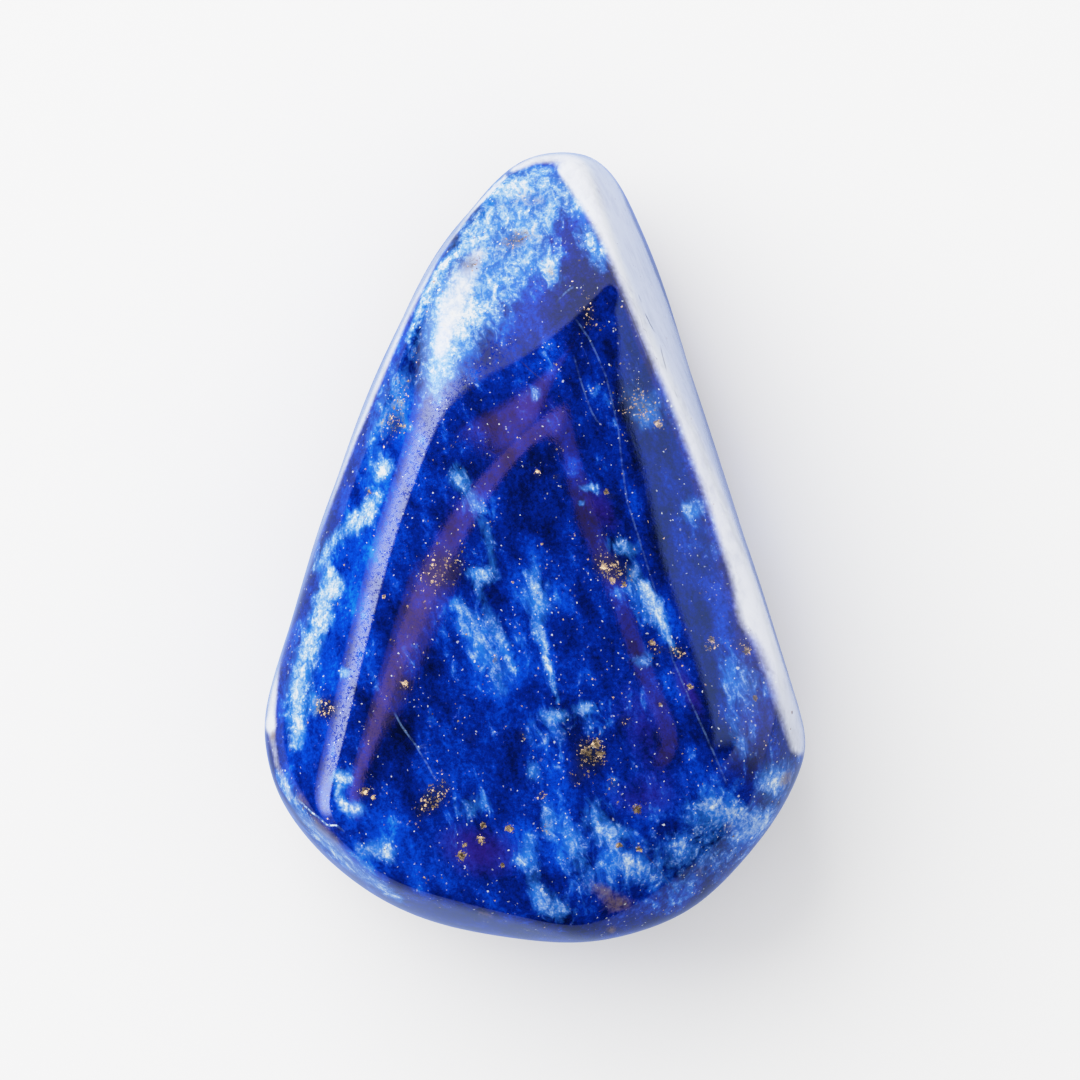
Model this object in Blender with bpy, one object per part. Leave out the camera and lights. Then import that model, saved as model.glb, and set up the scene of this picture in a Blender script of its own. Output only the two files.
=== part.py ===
"""A tumble-polished lapis lazuli pebble: one solid stone, lying on a small flat spot.

The stone is a rounded polytope. Each broad facet that the tumbler left is one
plane, given by the way it faces and by how far it stands from a point inside
the stone. The planes are blended with a power mean, which rounds every edge
between them. A faint waviness, a few shallow chips and the flat spot below are
added to that surface, and three low swellings round the flat spot bear the weight.
"""

import math

import bpy
import numpy as np

# Driving dimensions. Lengths are in millimetres until they reach the mesh.
MM = 0.001
STONE_LENGTH = 32.0          # tip to heel, along Y
INNER_HEIGHT = 5.42          # the inner point's height over the flat spot
EDGE_SHARPNESS = 40.0        # power of the blend above: larger gives tighter edges
UNDER_SHARPNESS = 14.0       # the same for the rounder edges below
RELAX_ROUNDS = 12            # rounds that even out the triangles over the stone
SPHERE_SUBDIVISIONS = 5      # 5120 triangles
SMOOTH_LIMIT = 28.0          # degrees: steeper edges between triangles stay sharp
STONE_COLOUR = (0.008, 0.045, 0.42, 1.0)
STONE_ROUGHNESS = 0.12

# Each facet: azimuth from +X towards +Y and tilt from straight up, in degrees,
# then the plane's distance from the inner point in millimetres.
UPPER_FACETS = {
    "crown": (230, 0.8, 7.8),
    "crown_left": (160, 8.0, 8.22),
    "crown_right": (24, 6.0, 8.06),
    "crown_heel": (262, 6.5, 8.75),
    "right_shoulder": (21, 13.5, 8.45),
    "left_face_up": (156, 42, 9.9),
    "left_face_low": (167, 42, 9.8),
    "tip_shoulder": (122, 12, 8.75),
    "tip_dome": (118, 27, 10.35),
    "right_slope": (16, 23, 9.2),
    "foot_shoulder": (315, 20, 10.35),
    "foot_slope": (312, 44, 12.5),
    "right_turn": (350, 55, 12.0),
    "heel_band": (256, 70, 14.1),
    "heel_band_left": (226, 72, 13.9),
    "right_wall": (24.5, 76, 9.85),
    "tip_wall": (88, 79, 18.2),
}
SIDE_FACETS = {
    "side_right": (18, 88, 8.78),
    "side_right_turn": (350, 88, 12.1),
    "side_foot_right": (336, 88, 12.75),
    "side_foot": (320, 86, 13.35),
    "side_foot_low": (302, 88, 14.2),
    "side_heel_right": (284, 88, 14.1),
    "side_heel": (264, 90, 13.75),
    "side_heel_left": (246, 90, 13.75),
    "side_heel_corner": (230, 90, 13.6),
    "side_left_corner": (212, 90, 13.1),
    "side_left_low": (190, 88, 11.8),
    "side_left": (163, 87, 9.2),
    "side_left_up": (156, 87, 9.55),
    "side_tip_left": (143, 86, 11.6),
    "side_tip_corner": (122, 88, 15.55),
    "side_tip": (90, 89, 19.1),
    "side_tip_right": (55, 89, 16.3),
    "side_tip_low": (30, 88, 12.0),
}
UNDER_FACETS = {
    "rest": (0, 180, 5.75),
    "rest_left": (176, 165, 6.9),
    "rest_right": (352, 166, 6.9),
    "rest_tip": (84, 168, 7.1),
    "rest_heel": (268, 165, 7.1),
    "under_left": (168, 136, 8.9),
    "under_right": (6, 134, 9.3),
    "under_tip": (92, 124, 16.6),
    "under_heel": (262, 130, 11.2),
    "under_foot": (318, 128, 11.6),
    "under_corner": (212, 129, 11.2),
}

# Each chip: the azimuth and tilt of its middle, its radius and its depth.
CHIPS = {
    "heel_left_nick": (229, 66, 1.6, 0.12),
    "foot_chip": (300, 116, 3.0, 0.30),
    "tip_chip": (76, 112, 2.6, 0.28),
    "left_chip": (196, 120, 2.8, 0.25),
    "right_chip": (12, 124, 3.2, 0.30),
}

# Three low swellings round the flat spot, which the stone bears on.
BEARING_CIRCLE = 4.8
BEARING_TURN = 100
BEARING_RADIUS = 1.6
BEARING_HEIGHT = 0.10

# Waviness: height of the swells above and below the widest level, and the
# wave numbers, in radians per millimetre, of the two swells that cross.
WAVE_ABOVE = 0.012
WAVE_BELOW = 0.09
LONG_SWELL = (0.55, 0.31, 0.24)
CROSS_SWELL = (-0.37, 0.74, 0.52)


def clear_scene():
    for old in list(bpy.data.objects):
        bpy.data.objects.remove(old, do_unlink=True)


def facing(azimuth, tilt):
    """Unit vector at an azimuth from +X and a tilt from straight up, in degrees."""
    around = math.radians(azimuth)
    down = math.radians(tilt)
    return np.array((math.sin(down) * math.cos(around),
                     math.sin(down) * math.sin(around),
                     math.cos(down)))


def blend(shares, power):
    """Power sum of the columns, which is close to the largest of them."""
    largest = shares.max(axis=1) + 1e-9
    scaled = shares / largest[:, None]
    return largest * (scaled ** power).sum(axis=1) ** (1.0 / power)


def closeness(directions, facets, power):
    """One over the distance to a group of facets, along unit directions."""
    planes = np.array([facing(azimuth, tilt) / distance for azimuth, tilt, distance in facets.values()])
    return blend(np.maximum(directions @ planes.T, 0.0), power)


def reach(directions):
    """Distance from the inner point to the stone's surface along unit directions."""
    above = closeness(directions, {**UPPER_FACETS, **SIDE_FACETS}, EDGE_SHARPNESS)
    below = closeness(directions, UNDER_FACETS, UNDER_SHARPNESS)
    return 1.0 / blend(np.stack((above, below), axis=1), UNDER_SHARPNESS)


def swell(points):
    """Waviness in millimetres, stronger on the lower half of the stone."""
    long_wave = np.sin(points @ np.array(LONG_SWELL) + 0.8)
    cross_wave = np.cos(points @ np.array(CROSS_SWELL) + 0.3)
    below = np.clip(0.5 - points[:, 2] / 6.0, 0.0, 1.0)
    return (WAVE_ABOVE + (WAVE_BELOW - WAVE_ABOVE) * below) * long_wave * cross_wave


def chip_depths(points):
    """How far the chips cut into the stone at each point, in millimetres."""
    depths = np.zeros(len(points))
    for azimuth, tilt, radius, depth in CHIPS.values():
        direction = facing(azimuth, tilt)
        middle = direction * reach(direction[None, :])[0]
        away = np.linalg.norm(points - middle, axis=1) / radius
        depths += depth * np.clip(1.0 - away ** 2, 0.0, 1.0) ** 1.5
    return depths


def bearing_heights(points):
    """How far the bearing points stand below the flat spot, in millimetres."""
    heights = np.zeros(len(points))
    for turn in (0, 120, 240):
        around = math.radians(BEARING_TURN + turn)
        middle = BEARING_CIRCLE * np.array((math.cos(around), math.sin(around)))
        away = np.linalg.norm(points[:, :2] - middle, axis=1) / BEARING_RADIUS
        heights += BEARING_HEIGHT * np.clip(1.0 - away ** 2, 0.0, 1.0) ** 2
    return np.where(points[:, 2] < 0.0, heights, 0.0)


def relaxed(directions, edges):
    """Directions moved so that the points they reach are evenly spread over the stone."""
    counts = np.bincount(edges.ravel(), minlength=len(directions))[:, None]
    for _ in range(RELAX_ROUNDS):
        points = directions * reach(directions)[:, None]
        sums = np.zeros_like(points)
        np.add.at(sums, edges[:, 0], points[edges[:, 1]])
        np.add.at(sums, edges[:, 1], points[edges[:, 0]])
        directions = sums / counts
        directions /= np.linalg.norm(directions, axis=1, keepdims=True)
    return directions


def stone_points(directions):
    """Surface points in millimetres, measured from the inner point."""
    points = directions * reach(directions)[:, None]
    moved = swell(points) - chip_depths(points)
    points = points + directions * moved[:, None]
    points[:, 2] = np.maximum(points[:, 2], -INNER_HEIGHT) - bearing_heights(points)
    return points


def set_on_origin(points):
    """Scale to the stone's length, and centre the box on the origin, resting on z = 0."""
    lowest = points.min(axis=0)
    highest = points.max(axis=0)
    scale = STONE_LENGTH / (highest[1] - lowest[1])
    base = np.array(((lowest[0] + highest[0]) / 2, (lowest[1] + highest[1]) / 2, lowest[2]))
    return (points - base) * scale


def stone_material():
    material = bpy.data.materials.new("lapis_lazuli")
    material.use_nodes = True
    shader = material.node_tree.nodes["Principled BSDF"]
    shader.inputs["Base Color"].default_value = STONE_COLOUR
    shader.inputs["Roughness"].default_value = STONE_ROUGHNESS
    shader.inputs["Metallic"].default_value = 0.0
    material.diffuse_color = STONE_COLOUR
    return material


def make_stone(collection):
    bpy.ops.mesh.primitive_ico_sphere_add(subdivisions=SPHERE_SUBDIVISIONS, radius=1.0)
    stone = bpy.context.object
    stone.name = "stone"
    mesh = stone.data
    mesh.name = "stone"

    sphere = np.empty(len(mesh.vertices) * 3)
    mesh.vertices.foreach_get("co", sphere)
    directions = sphere.reshape(-1, 3)
    directions /= np.linalg.norm(directions, axis=1, keepdims=True)
    edges = np.empty(len(mesh.edges) * 2, dtype=np.int64)
    mesh.edges.foreach_get("vertices", edges)
    directions = relaxed(directions, edges.reshape(-1, 2))
    points = set_on_origin(stone_points(directions)) * MM
    mesh.vertices.foreach_set("co", points.ravel())
    mesh.update()

    mesh.shade_smooth()
    mesh.set_sharp_from_angle(angle=math.radians(SMOOTH_LIMIT))
    mesh.materials.append(stone_material())
    for home in list(stone.users_collection):
        home.objects.unlink(stone)
    collection.objects.link(stone)
    return stone


def main():
    clear_scene()
    collection = bpy.data.collections.new("lapis_lazuli_pebble")
    bpy.context.scene.collection.children.link(collection)
    make_stone(collection)


main()
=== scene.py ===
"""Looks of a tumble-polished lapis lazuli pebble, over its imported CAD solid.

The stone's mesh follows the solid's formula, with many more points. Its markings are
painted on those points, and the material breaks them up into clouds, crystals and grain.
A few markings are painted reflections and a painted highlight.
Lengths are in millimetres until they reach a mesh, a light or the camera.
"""

import math

import bmesh
import bpy
import numpy as np
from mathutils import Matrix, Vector


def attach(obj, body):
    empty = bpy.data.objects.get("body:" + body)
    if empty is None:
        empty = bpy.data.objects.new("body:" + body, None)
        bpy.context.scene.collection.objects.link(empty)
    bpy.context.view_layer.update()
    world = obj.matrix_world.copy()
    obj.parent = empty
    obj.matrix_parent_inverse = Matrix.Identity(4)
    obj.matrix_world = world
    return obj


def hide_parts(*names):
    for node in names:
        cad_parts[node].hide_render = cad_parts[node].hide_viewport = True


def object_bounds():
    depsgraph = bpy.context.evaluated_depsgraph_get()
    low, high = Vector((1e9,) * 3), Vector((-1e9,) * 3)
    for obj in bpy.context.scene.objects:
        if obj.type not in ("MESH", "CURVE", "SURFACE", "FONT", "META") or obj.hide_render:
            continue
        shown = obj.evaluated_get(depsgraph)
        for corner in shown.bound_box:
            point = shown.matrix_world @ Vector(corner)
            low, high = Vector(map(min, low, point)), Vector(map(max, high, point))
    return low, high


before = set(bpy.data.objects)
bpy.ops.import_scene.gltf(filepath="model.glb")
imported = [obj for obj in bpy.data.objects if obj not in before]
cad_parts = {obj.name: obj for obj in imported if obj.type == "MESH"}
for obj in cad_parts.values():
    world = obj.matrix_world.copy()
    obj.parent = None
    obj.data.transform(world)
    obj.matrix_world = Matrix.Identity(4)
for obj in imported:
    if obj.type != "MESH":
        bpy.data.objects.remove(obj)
CAD_LOW, CAD_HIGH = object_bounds()

MM = 0.001
STONE_LENGTH = 32.0     # tip to heel, along Y
INNER_HEIGHT = 5.42     # the inner point's height over the flat spot
EDGE_SHARPNESS = 40.0   # power of the blend above: larger gives tighter edges
UNDER_SHARPNESS = 14.0  # the same for the rounder edges below
RELAX_ROUNDS = 12       # rounds that even out the mesh over the stone
CUBE_CELLS = 124        # cells along each edge of the cube that the mesh starts from
TINY = 1e-9             # keeps a divisor away from zero

# The stone's facets, as in its CAD source: azimuth from +X towards +Y and tilt from
# straight up, in degrees, then the plane's distance from the inner point.
UPPER_FACETS = {
    "crown": (230, 0.8, 7.8),
    "crown_left": (160, 8.0, 8.22),
    "crown_right": (24, 6.0, 8.06),
    "crown_heel": (262, 6.5, 8.75),
    "right_shoulder": (21, 13.5, 8.45),
    "left_face_up": (156, 42, 9.9),
    "left_face_low": (167, 42, 9.8),
    "tip_shoulder": (122, 12, 8.75),
    "tip_dome": (118, 27, 10.35),
    "right_slope": (16, 23, 9.2),
    "foot_shoulder": (315, 20, 10.35),
    "foot_slope": (312, 44, 12.5),
    "right_turn": (350, 55, 12.0),
    "heel_band": (256, 70, 14.1),
    "heel_band_left": (226, 72, 13.9),
    "right_wall": (24.5, 76, 9.85),
    "tip_wall": (88, 79, 18.2),
}
SIDE_FACETS = {
    "side_right": (18, 88, 8.78),
    "side_right_turn": (350, 88, 12.1),
    "side_foot_right": (336, 88, 12.75),
    "side_foot": (320, 86, 13.35),
    "side_foot_low": (302, 88, 14.2),
    "side_heel_right": (284, 88, 14.1),
    "side_heel": (264, 90, 13.75),
    "side_heel_left": (246, 90, 13.75),
    "side_heel_corner": (230, 90, 13.6),
    "side_left_corner": (212, 90, 13.1),
    "side_left_low": (190, 88, 11.8),
    "side_left": (163, 87, 9.2),
    "side_left_up": (156, 87, 9.55),
    "side_tip_left": (143, 86, 11.6),
    "side_tip_corner": (122, 88, 15.55),
    "side_tip": (90, 89, 19.1),
    "side_tip_right": (55, 89, 16.3),
    "side_tip_low": (30, 88, 12.0),
}
UNDER_FACETS = {
    "rest": (0, 180, 5.75),
    "rest_left": (176, 165, 6.9),
    "rest_right": (352, 166, 6.9),
    "rest_tip": (84, 168, 7.1),
    "rest_heel": (268, 165, 7.1),
    "under_left": (168, 136, 8.9),
    "under_right": (6, 134, 9.3),
    "under_tip": (92, 124, 16.6),
    "under_heel": (262, 130, 11.2),
    "under_foot": (318, 128, 11.6),
    "under_corner": (212, 129, 11.2),
}

# Each chip: the azimuth and tilt of its middle, its radius and its depth.
CHIPS = {
    "heel_left_nick": (229, 66, 1.6, 0.12),
    "foot_chip": (300, 116, 3.0, 0.30),
    "tip_chip": (76, 112, 2.6, 0.28),
    "left_chip": (196, 120, 2.8, 0.25),
    "right_chip": (12, 124, 3.2, 0.30),
}
CHIP_POWER = 1.5  # how softly a chip meets the surface round it

# Three low swellings round the flat spot, which the stone bears on.
BEARING_TURNS = (100, 220, 340)
BEARING_CIRCLE = 4.8
BEARING_RADIUS = 1.6
BEARING_HEIGHT = 0.10
BEARING_POWER = 2

# Waviness: height of the swells above and below the widest level, and the height over which
# one changes to the other. Two swells cross, each with its wave numbers, in radians per
# millimetre, and its phase.
WAVE_ABOVE = 0.012
WAVE_BELOW = 0.09
WAVE_CHANGE = 6.0
LONG_SWELL = (0.55, 0.31, 0.24)
LONG_PHASE = 0.8
CROSS_SWELL = (-0.37, 0.74, 0.52)
CROSS_PHASE = 0.3

# The camera looks straight down, and frames the photograph's square at the stone's widest
# level. From tip to heel, the stone spans 788 of the square's 1080 pixels.
PHOTO_SIZE = 1080
STONE_PIXELS = 788.0
PIXEL = STONE_LENGTH / STONE_PIXELS
FIELD = PHOTO_SIZE * PIXEL
WIDEST_LEVEL = 6.5
CAMERA_HEIGHT = 300.0
CAMERA_SHIFT = (0.2, 0.24)
CAMERA_SENSOR = 36.0
CAMERA_NEAR = 10.0
CAMERA_FAR = 10000.0

# Markings, placed on the photograph. A patch is the pixel of its middle, half its
# length and half its width in pixels, its turn in degrees from rightwards towards up, and
# its strength. A streak is its strength, then pixels along it, each with half its width.
CALCITE_PATCHES = {
    "tip": (532, 198, 62, 26, 4, 0.52),
    "tip_left": (508, 187, 34, 12, 8, 0.76),
    "tip_edge": (532, 172, 40, 9, 0, 0.45),
    "tip_right": (566, 192, 20, 14, 0, 0.4),
    "tip_spot": (581, 203, 9, 7, 0, 0.6),
    "left_of_tip": (484, 226, 34, 16, 40, 0.66),
    "below_tip": (522, 234, 28, 18, 20, 0.76),
    "below_tip_low": (521, 262, 18, 14, 0, 0.5),
    "below_tip_clump": (551, 268, 20, 10, 105, 0.74),
    "right_of_tip": (594, 246, 32, 13, 112, 0.62),
    "dome": (466, 304, 80, 40, 66, 0.72),
    "dome_core": (452, 300, 44, 24, 68, 0.55),
    "dome_low": (440, 362, 38, 15, 74, 0.66),
    "dome_right": (508, 292, 46, 20, 60, 0.34),
    "left_high": (384, 470, 15, 9, 50, 0.8),
    "left_middle": (366, 517, 19, 9, 55, 0.75),
    "left_beige": (337, 586, 13, 9, 80, 0.85),
    "left_low": (315, 703, 13, 7, 100, 0.85),
    "left_spot": (345, 672, 7, 6, 0, 0.8),
    "left_upper": (392, 392, 40, 14, 66, 0.34),
    "centre_left": (459, 476, 15, 10, -60, 0.52),
    "centre_left_low": (480, 575, 18, 8, -10, 0.65),
    "centre": (537, 598, 34, 19, 94, 0.46),
    "centre_core": (538, 598, 28, 7, 99, 0.42),
    "right_upper": (624, 548, 18, 10, -20, 0.6),
    "right_lilac": (635, 575, 12, 9, -60, 0.5),
    "right_veil": (648, 614, 36, 15, -62, 0.36),
    "right_lower": (642, 660, 13, 9, 0, 0.6),
    "wall_clump": (691, 510, 13, 12, 0, 0.62),
    "wall_specks": (700, 545, 30, 14, -60, 0.25),
    "right_cloud": (742, 682, 44, 28, -36, 0.48),
    "right_cloud_low": (738, 742, 36, 20, -60, 0.4),
    "right_haze": (698, 466, 130, 12, -69, 0.3),
    "foot_haze": (705, 850, 74, 40, 30, 0.4),
    "heel_haze": (610, 870, 60, 30, 10, 0.3),
    "centre_haze": (486, 640, 60, 30, -62, 0.26),
    "lower_haze": (560, 730, 60, 26, 0, 0.24),
    "left_haze": (380, 440, 60, 18, 66, 0.34),
    "lower_left_spot": (555, 716, 12, 7, 0, 0.6),
    "lower_right_spot": (585, 708, 9, 7, 0, 0.6),
    "middle_low": (533, 772, 8, 12, 0, 0.5),
    "middle_beige": (546, 822, 20, 9, 96, 0.6),
    "heel_first": (598, 822, 28, 17, 118, 0.5),
    "heel_second": (572, 844, 30, 12, 115, 0.5),
    "heel_third": (617, 832, 15, 9, -10, 0.5),
    "heel_fourth": (630, 862, 20, 11, -30, 0.36),
    "foot_cyan": (713, 810, 25, 20, 0, 0.52),
    "foot_upper": (737, 812, 8, 6, 0, 0.55),
    "foot_lower": (760, 822, 19, 13, 35, 0.72),
    "foot_rim": (772, 781, 14, 12, 50, 0.72),
    "foot_edge": (776, 792, 56, 14, 62, 0.4),
    "corner_first": (340, 778, 11, 9, 0, 0.9),
    "corner_second": (356, 809, 12, 10, 0, 0.8),
    "corner_third": (366, 851, 15, 11, 135, 0.5),
    "corner_fourth": (386, 852, 15, 10, 135, 0.7),
    "pale_lilac": (474, 806, 23, 14, 20, 0.4),
    "small_first": (588, 488, 12, 4, 0, 0.55),
    "small_second": (581, 503, 4, 4, 0, 0.7),
    "small_third": (533, 465, 11, 4, 0, 0.5),
    "apex": (536, 393, 10, 8, 0, 0.4),
    "gold_halo": (640, 408, 30, 24, -40, 0.62),
}
CALCITE_AND_HIGHLIGHT_STREAKS = {
    "tip": (0.8, ((552, 200, 4), (550, 216, 4), (548, 230, 3))),
    "left_high": (0.62, ((377, 497, 7), (352, 524, 9), (328, 545, 9), (317, 566, 9))),
    "left": (0.8, ((330, 575, 8), (324, 600, 12), (320, 622, 13), (307, 655, 13), (299, 684, 13),
        (297, 715, 12), (297, 744, 8))),
    "centre_left": (0.36, ((459, 476, 9), (478, 510, 8), (491, 545, 7), (493, 568, 6))),
    "centre": (0.45, ((537, 625, 6), (546, 660, 4), (558, 702, 3))),
    "slant_first": (0.36, ((458, 600, 7), (480, 640, 11), (504, 690, 8))),
    "slant_second": (0.34, ((478, 586, 5), (495, 625, 8), (513, 668, 6))),
    "right": (0.8, ((644, 586, 7), (655, 604, 9), (663, 624, 6), (669, 639, 4), (677, 652, 4))),
    "heel": (0.52, ((529, 840, 9), (528, 862, 14), (535, 886, 13), (546, 905, 15), (562, 914, 13))),
    # A painted highlight: the thin white crescent along the dome's left edge.
    "crescent_highlight": (0.95, ((470, 244, 2.5), (455, 254, 3.5), (440, 270, 3.5), (428, 291, 3), (417, 315, 2.5),
        (408, 341, 2))),
    "corner": (0.6, ((276, 770, 5), (296, 806, 7), (318, 834, 8), (350, 866, 7), (400, 900, 6))),
    "corner_curl": (0.9, ((338, 787, 3), (337, 795, 3), (343, 803, 3))),
}
# The smooth pale film on the right wall, round the tip and on the dome is partly calcite and
# partly a painted reflection of the bright surroundings; along the left rim it is a painted reflection.
FILM_AND_REFLECTION_STREAKS = {
    "wall": (1.0, ((598, 190, 22), (632, 256, 24), (662, 330, 24), (690, 400, 22), (722, 480, 24),
        (742, 550, 21), (764, 610, 20))),
    "wall_low": (0.75, ((768, 610, 32), (786, 670, 27), (796, 712, 23), (800, 745, 14))),
    "tip": (0.62, ((512, 170, 5), (535, 159, 8), (565, 154, 12), (592, 166, 14), (604, 190, 14))),
    "dome": (0.52, ((478, 254, 12), (462, 284, 25), (450, 316, 23), (440, 352, 12))),
    # Along the left rim and on below it: a painted reflection of the bright surroundings.
    "rim": (0.62, ((506, 176, 3), (470, 212, 4), (436, 256, 5), (404, 318, 7), (352, 440, 7), (304, 560, 8),
        (276, 650, 8), (270, 725, 7))),
    "rim_low": (0.46, ((270, 725, 7), (277, 765, 6), (292, 798, 5))),
    "tip_right": (0.74, ((566, 172, 10), (582, 184, 14), (602, 196, 17))),
}
AZURE_AND_REFLECTION_PATCHES = {
    "tip": (520, 222, 52, 30, 10, 0.5),
    "tip_edge": (526, 170, 46, 10, 0, 0.9),
    "wall_edge": (696, 466, 150, 11, -69, 0.75),
    "tip_spot": (587, 217, 14, 8, 20, 0.9),
    "dome": (500, 300, 80, 46, 68, 0.55),
    "left_top": (408, 322, 74, 13, 68, 0.85),
    "left_high": (395, 440, 90, 30, 66, 0.75),
    "left_face": (345, 620, 130, 40, 74, 0.95),
    "left_foot": (318, 740, 60, 34, 90, 0.85),
    "corner": (372, 826, 52, 30, -40, 0.75),
    "centre": (537, 604, 52, 34, 94, 0.65),
    "centre_low": (500, 690, 60, 30, -66, 0.5),
    "slant": (485, 640, 62, 24, -62, 0.6),
    "right": (662, 612, 52, 22, -68, 0.65),
    "vein_side": (625, 470, 60, 9, -76, 0.4),
    "right_cloud": (740, 690, 60, 38, -50, 0.55),
    "right_edge": (722, 600, 90, 14, -66, 0.35),
    "foot": (724, 812, 66, 50, -20, 0.7),
    "heel_left": (438, 770, 44, 40, 0, 0.5),
    "heel_low": (415, 862, 60, 24, -22, 0.5),
    "heel_far": (366, 862, 34, 11, -36, 0.9),
    # Partly a painted reflection of the lilac walls, in the zone beside the right wall.
    "wall_side": (704, 570, 120, 20, -67, 0.3),
    "heel_band": (520, 905, 90, 18, -4, 0.25),
    "heel_middle": (535, 850, 34, 62, 0, 0.75),
    "heel_right": (620, 856, 66, 40, -10, 0.5),
    "cyan_spot": (574, 462, 13, 11, 0, 0.5),
}
VIOLET_AND_REFLECTION_PATCHES = {
    "below_tip": (548, 262, 42, 12, 90, 0.5),
    # A painted purple reflection of the ring light, at its apex and down its right leg.
    "apex": (532, 405, 34, 26, 0, 0.5),
    "right_leg": (600, 508, 36, 16, -56, 0.6),
    "centre_left": (448, 520, 60, 18, 66, 0.35),
    "heel": (478, 850, 50, 30, -12, 0.66),
    "lower": (648, 730, 76, 34, -66, 0.42),
    "lower_low": (640, 800, 40, 24, 0, 0.4),
    # A painted purple reflection, where the ring light's right leg runs on.
    "beside_dark": (688, 690, 44, 9, -64, 0.6),
    # Partly a painted reflection of the lilac walls, beside the right wall.
    "wall_side": (712, 580, 80, 16, -66, 0.35),
    "foot": (700, 880, 44, 22, 30, 0.3),
}
SHADE_PATCHES = {
    "ridge_spot": (588, 310, 26, 12, 90, 0.8),
    "below_apex": (520, 462, 30, 22, 0, 0.5),
    "left_gold": (452, 574, 22, 14, 90, 0.8),
    "beside_vein": (629, 430, 100, 9, -74, 0.6),
    "beside_vein_low": (672, 580, 70, 9, -68, 0.6),
    "dark_band": (704, 690, 90, 10, -70, 0.8),
    "pyrite_first": (590, 754, 24, 18, 0, 0.6),
    "pyrite_second": (690, 654, 20, 12, -50, 0.8),
    "gold_cloud": (440, 800, 22, 12, 35, 0.6),
    "gold_left": (322, 705, 22, 12, -60, 0.5),
    "below_strip": (400, 745, 26, 44, 0, 0.4),
    "foot_spot": (766, 803, 13, 10, 0, 0.7),
    "heel_dark": (500, 876, 62, 9, -4, 0.45),
    "wall_gold": (632, 415, 20, 18, 0, 0.2),
}
GOLD_PATCHES = {
    "tip": (516, 239, 17, 9, 20, 0.8),
    "dome": (471, 265, 14, 9, 20, 0.6),
    "tip_clump": (551, 272, 12, 7, 100, 0.5),
    "left_flecks": (402, 392, 62, 12, 68, 0.42),
    "ridge": (588, 312, 22, 10, 90, 0.55),
    "left_high": (397, 426, 16, 12, 60, 0.55),
    "left_face": (368, 492, 7, 5, 0, 0.5),
    "apex_left": (453, 446, 5, 6, 0, 0.5),
    "upper_first": (537, 476, 5, 5, 0, 0.6),
    "upper_second": (556, 477, 5, 4, 0, 0.6),
    "upper_third": (559, 450, 11, 6, 0, 0.45),
    "upper_fourth": (611, 496, 8, 5, -30, 0.6),
    "upper_fifth": (575, 519, 7, 3, 0, 0.5),
    "big_left": (439, 570, 32, 22, 60, 0.65),
    "strip_first": (392, 642, 5, 5, 0, 0.5),
    "strip_second": (405, 685, 9, 8, 0, 0.65),
    "left_low": (325, 708, 17, 12, -50, 0.8),
    "corner": (363, 793, 10, 7, 0, 0.7),
    "cloud": (434, 797, 26, 12, 48, 0.85),
    "middle_first": (470, 738, 11, 9, 0, 0.45),
    "middle_second": (521, 736, 7, 8, 0, 0.5),
    "middle_third": (495, 660, 5, 5, 0, 0.5),
    "middle_fourth": (542, 795, 7, 6, 0, 0.6),
    "wall_cloud": (640, 406, 32, 22, -44, 0.6),
    "right_first": (611, 568, 24, 14, -36, 0.85),
    "right_second": (656, 648, 14, 8, -20, 0.5),
    "right_third": (678, 652, 10, 7, -40, 0.8),
    "wall_first": (712, 646, 10, 8, 0, 0.6),
    "wall_second": (743, 646, 14, 8, -30, 0.65),
    "wall_third": (706, 592, 20, 10, 0, 0.3),
    "wall_fourth": (733, 735, 14, 9, 0, 0.4),
    "lower_first": (590, 754, 19, 17, 0, 0.85),
    "lower_second": (575, 780, 12, 11, 0, 0.5),
    "lower_third": (613, 785, 9, 10, 0, 0.5),
    "lower_fourth": (624, 721, 9, 9, 0, 0.6),
    "lower_fifth": (662, 704, 10, 7, 0, 0.6),
    "lower_sixth": (656, 735, 10, 12, 0, 0.45),
    "heel_first": (546, 826, 10, 12, 0, 0.4),
    "heel_second": (637, 812, 6, 5, 0, 0.4),
    "heel_third": (634, 848, 10, 6, 0, 0.45),
    "foot": (766, 744, 5, 5, 0, 0.6),
}
STAIN_PATCHES = {
    "foot_rim": (786, 779, 12, 6, 62, 0.9),
    "heel_first": (604, 892, 18, 9, -30, 0.8),
    "heel_second": (620, 905, 20, 9, 10, 0.6),
    "heel_rim": (611, 930, 6, 4, 0, 0.9),
    "foot_first": (728, 827, 8, 7, 0, 0.5),
    "foot_second": (699, 872, 7, 9, 0, 0.5),
    "left_rim": (273, 736, 4, 6, 0, 0.8),
    "corner_first": (302, 800, 10, 5, -45, 0.7),
    "corner_second": (320, 826, 16, 6, -45, 0.7),
    "corner_third": (334, 840, 12, 5, -45, 0.5),
    "heel_band": (486, 914, 12, 6, -20, 0.5),
    "dome": (441, 330, 34, 12, 72, 0.3),
    "dome_high": (474, 262, 26, 9, 30, 0.34),
    "tip": (530, 200, 34, 9, 6, 0.5),
    "below_tip": (520, 240, 26, 10, 20, 0.45),
    "right_leg": (608, 560, 20, 10, -30, 0.3),
}
# Where fine pits break up the gleam of the polish.
FROST_STREAKS = {
    "window": (1.0, ((504, 340, 16), (470, 385, 18), (436, 430, 20), (412, 500, 20), (384, 590, 22),
        (356, 690, 22), (336, 760, 18))),
    "ring_left": (0.3, ((520, 430, 24), (470, 500, 26), (424, 610, 26), (382, 720, 26), (362, 790, 20))),
    "ring_right": (0.25, ((560, 430, 20), (600, 510, 22), (650, 620, 24), (690, 720, 20))),
}
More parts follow.
